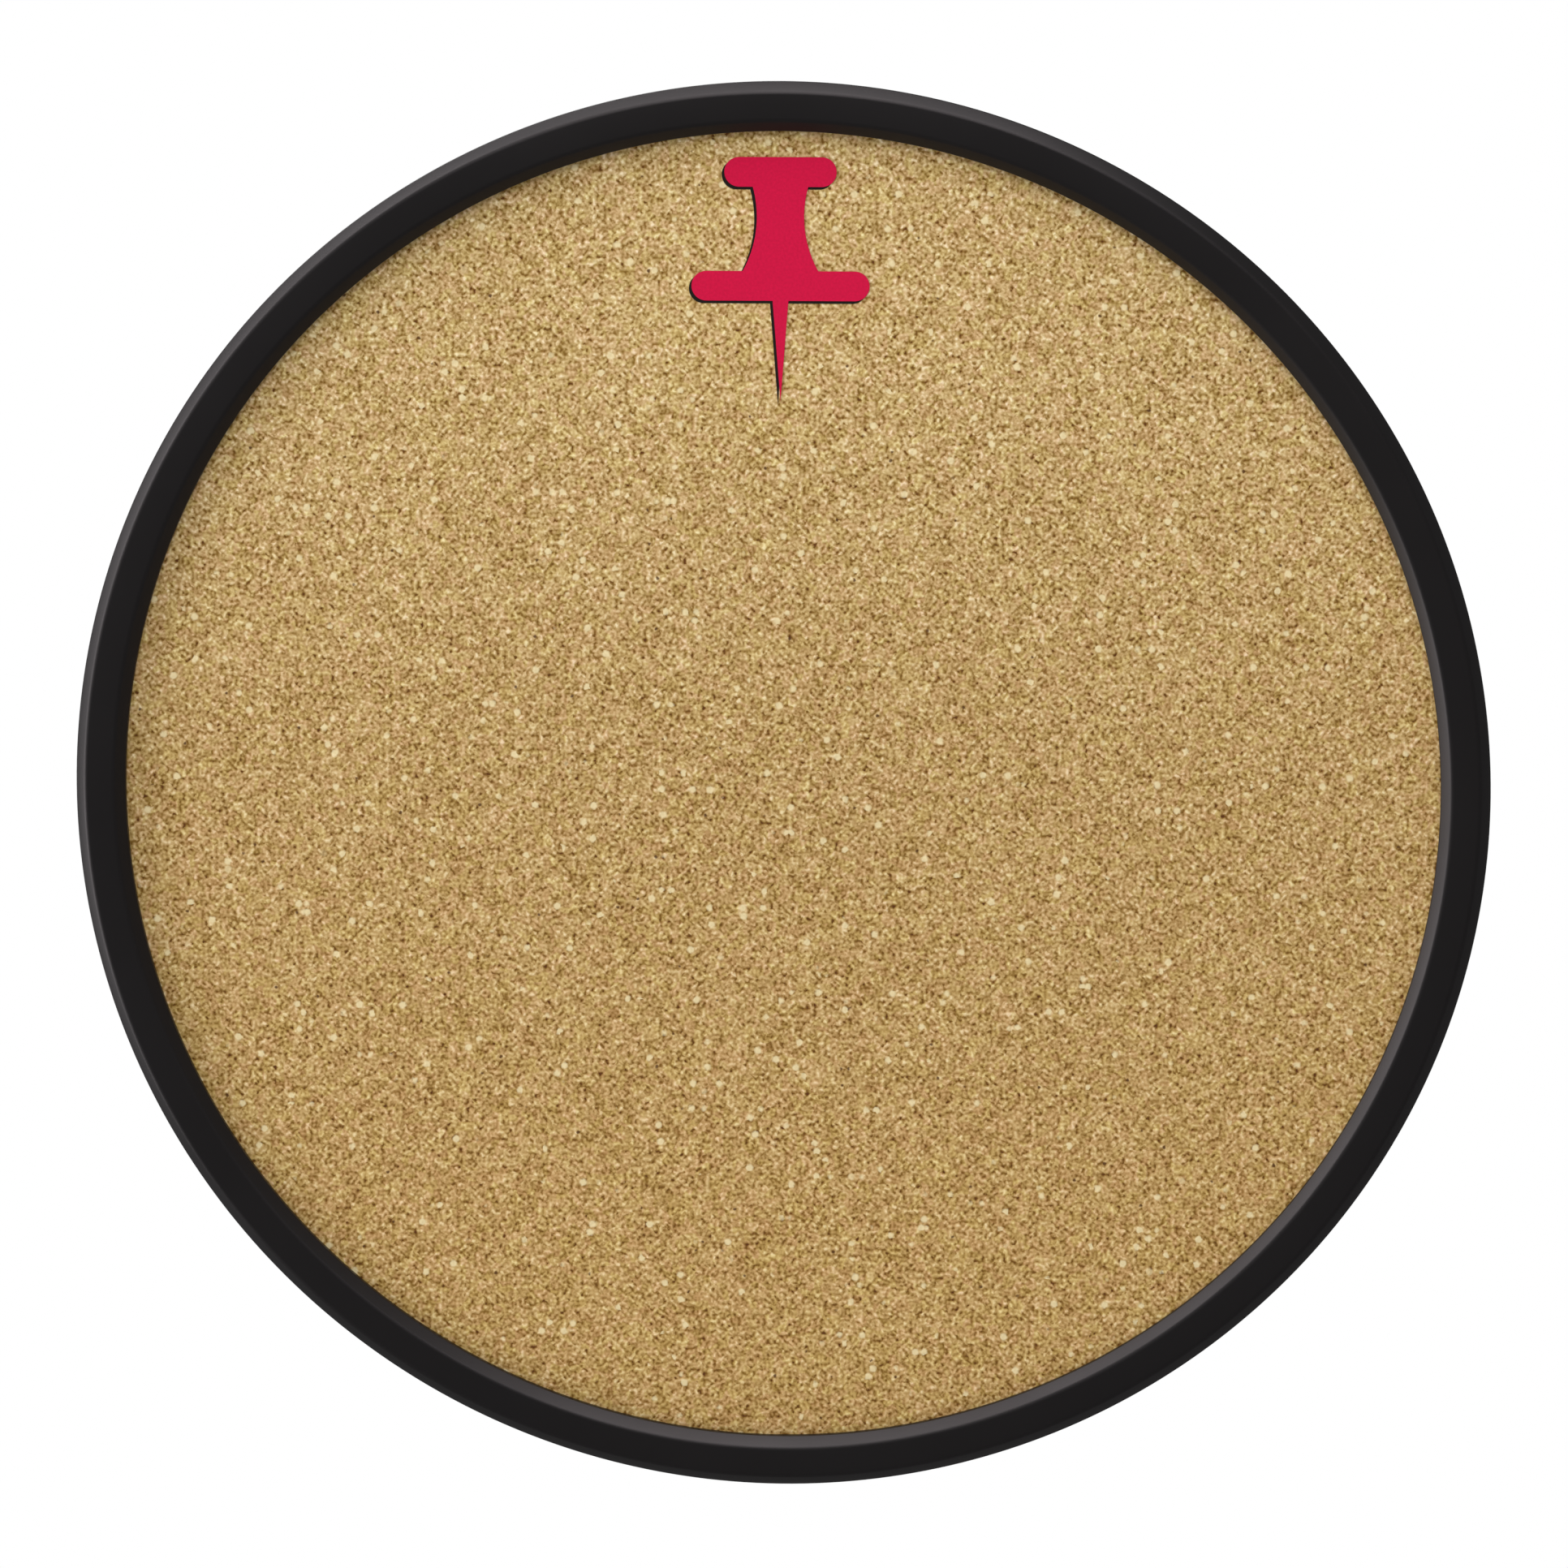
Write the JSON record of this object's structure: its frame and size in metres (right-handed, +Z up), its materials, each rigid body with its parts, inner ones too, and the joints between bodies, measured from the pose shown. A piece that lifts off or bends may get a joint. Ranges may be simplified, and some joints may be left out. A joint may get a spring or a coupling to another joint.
{
  "type": "cork bulletin board",
  "caption": "Round wall board: a moulded ring with bevelled edges holds a cork pinning sheet on a hardboard backer, with turn buttons and D-ring hangers behind.",
  "frame": {"origin": "centre of the ring in the plane of its rear rim, which is the plane of the wall", "axes": "+Y points into the wall, so the cork faces -Y; +Z is up; +X is to the right from in front"},
  "size_m": [0.4317, 0.0254, 0.4318],
  "materials": {
    "moulded_abs": "satin",
    "agglomerated_cork": "matte",
    "hardboard": "matte",
    "red_ink": "matte",
    "black_ink": "matte",
    "zinc_plated_strip": "satin",
    "zinc_plated_screw": "satin",
    "nickel_plated_wire": "polished",
    "black_rubber": "matte"
  },
  "bodies": {
    "root": {"frame_ring": "moulded_abs", "cork_sheet": "agglomerated_cork", "backer_board": "hardboard", "emblem_shade": "black_ink", "emblem_print": "red_ink", "turn_button_screws": "zinc_plated_screw", "hanger_screws": "zinc_plated_screw", "hanger_strap_left": "zinc_plated_strip", "hanger_strap_right": "zinc_plated_strip", "wall_pads": "black_rubber"},
    "turn_button_1": {"turn_button_1": "zinc_plated_strip"},
    "turn_button_2": {"turn_button_2": "zinc_plated_strip"},
    "turn_button_3": {"turn_button_3": "zinc_plated_strip"},
    "turn_button_4": {"turn_button_4": "zinc_plated_strip"},
    "turn_button_5": {"turn_button_5": "zinc_plated_strip"},
    "turn_button_6": {"turn_button_6": "zinc_plated_strip"},
    "turn_button_7": {"turn_button_7": "zinc_plated_strip"},
    "turn_button_8": {"turn_button_8": "zinc_plated_strip"},
    "hanger_ring_left": {"hanger_ring_left": "nickel_plated_wire"},
    "hanger_ring_right": {"hanger_ring_right": "nickel_plated_wire"}
  },
  "joints": [
    {"name": "turn_button_1_swivel", "type": "hinge", "parent": "root", "child": "turn_button_1", "pos_m": [0, -0.0132, 0.2088], "axis": [0, 1, 0], "range_deg": [-90, 90]},
    {"name": "turn_button_2_swivel", "type": "hinge", "parent": "root", "child": "turn_button_2", "pos_m": [0.14764, -0.0132, 0.14764], "axis": [0, 1, 0], "range_deg": [-90, 90]},
    {"name": "turn_button_3_swivel", "type": "hinge", "parent": "root", "child": "turn_button_3", "pos_m": [0.2088, -0.0132, 0], "axis": [0, 1, 0], "range_deg": [-90, 90]},
    {"name": "turn_button_4_swivel", "type": "hinge", "parent": "root", "child": "turn_button_4", "pos_m": [0.14764, -0.0132, -0.14764], "axis": [0, 1, 0], "range_deg": [-90, 90]},
    {"name": "turn_button_5_swivel", "type": "hinge", "parent": "root", "child": "turn_button_5", "pos_m": [0, -0.0132, -0.2088], "axis": [0, 1, 0], "range_deg": [-90, 90]},
    {"name": "turn_button_6_swivel", "type": "hinge", "parent": "root", "child": "turn_button_6", "pos_m": [-0.14764, -0.0132, -0.14764], "axis": [0, 1, 0], "range_deg": [-90, 90]},
    {"name": "turn_button_7_swivel", "type": "hinge", "parent": "root", "child": "turn_button_7", "pos_m": [-0.2088, -0.0132, 0], "axis": [0, 1, 0], "range_deg": [-90, 90]},
    {"name": "turn_button_8_swivel", "type": "hinge", "parent": "root", "child": "turn_button_8", "pos_m": [-0.14764, -0.0132, 0.14764], "axis": [0, 1, 0], "range_deg": [-90, 90]},
    {"name": "hanger_ring_left_swing", "type": "hinge", "parent": "root", "child": "hanger_ring_left", "pos_m": [-0.0799, -0.0117, 0.16891], "axis": [1, 0, 0], "range_deg": [0, 165]},
    {"name": "hanger_ring_right_swing", "type": "hinge", "parent": "root", "child": "hanger_ring_right", "pos_m": [0.0799, -0.0117, 0.16891], "axis": [1, 0, 0], "range_deg": [0, 165]}
  ]
}
